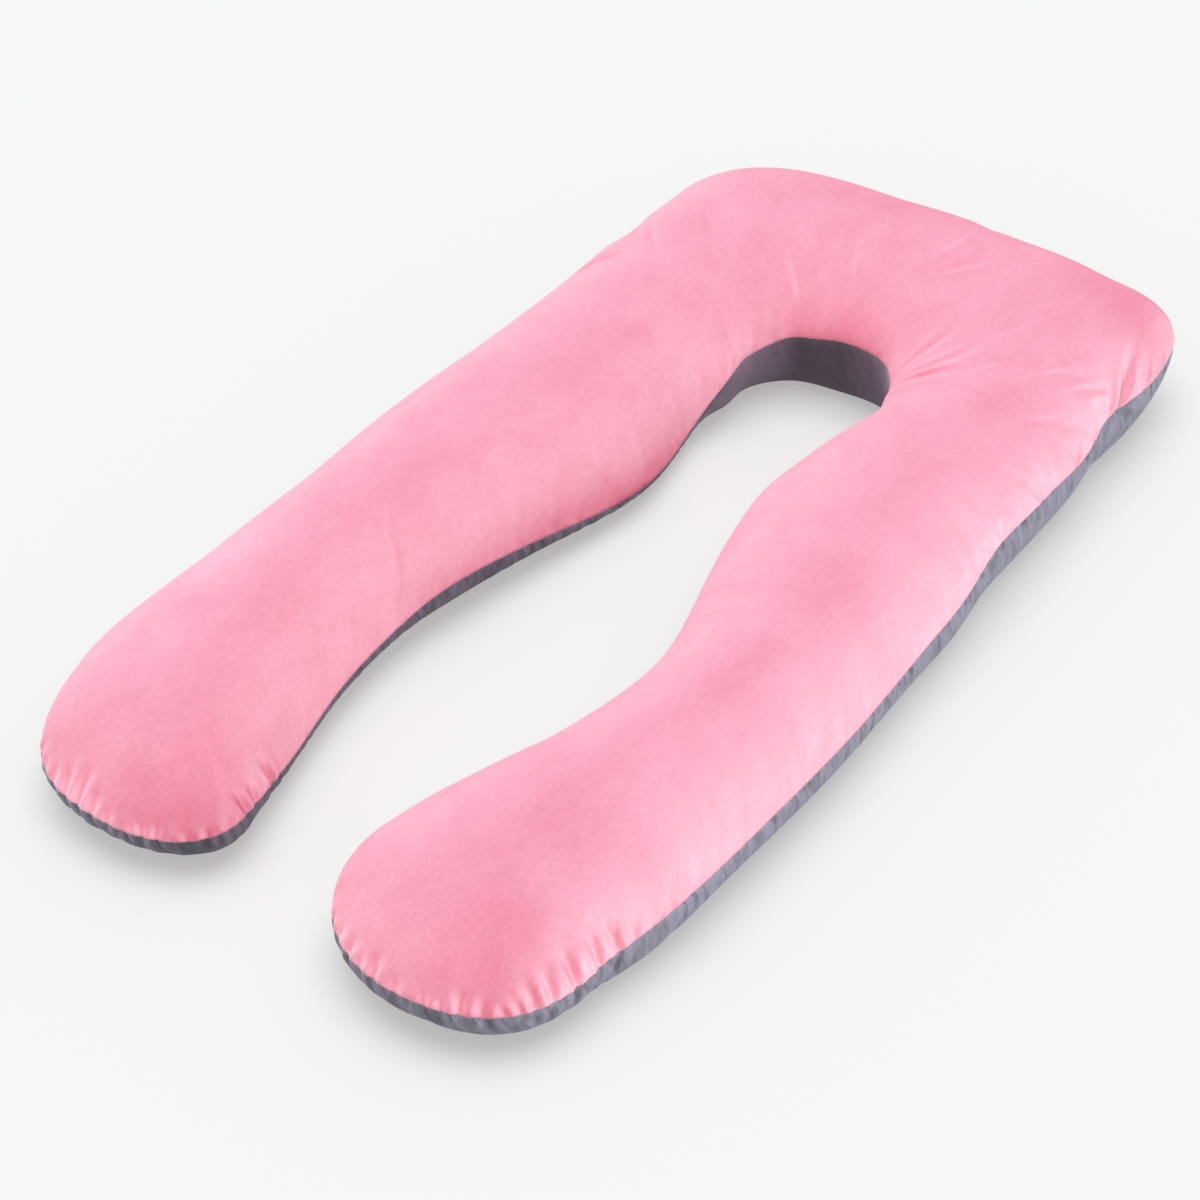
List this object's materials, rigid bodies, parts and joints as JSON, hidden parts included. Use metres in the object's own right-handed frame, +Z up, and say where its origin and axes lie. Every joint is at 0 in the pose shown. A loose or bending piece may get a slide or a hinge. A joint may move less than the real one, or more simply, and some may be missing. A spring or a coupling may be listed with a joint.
{
  "type": "u-shaped body pillow",
  "caption": "U-shaped full-body pillow lying flat, pink velour on top and blue-grey velour below, with a rounded neck arch and soft round arm tips.",
  "frame": {"origin": "on the surface the pillow lies on, below the middle of its bounding box", "axes": "+Z up, +Y towards the closed head end, +X across the arms, which point to -Y"},
  "size_m": [0.74, 1.4, 0.18],
  "materials": {
    "pink_velour": "short-pile velour, matt with a soft sheen",
    "grey_velour": "short-pile velour, matt with a soft sheen"
  },
  "bodies": {
    "root": {"Top_Panel": "pink_velour", "Bottom_Panel": "grey_velour"}
  },
  "joints": []
}
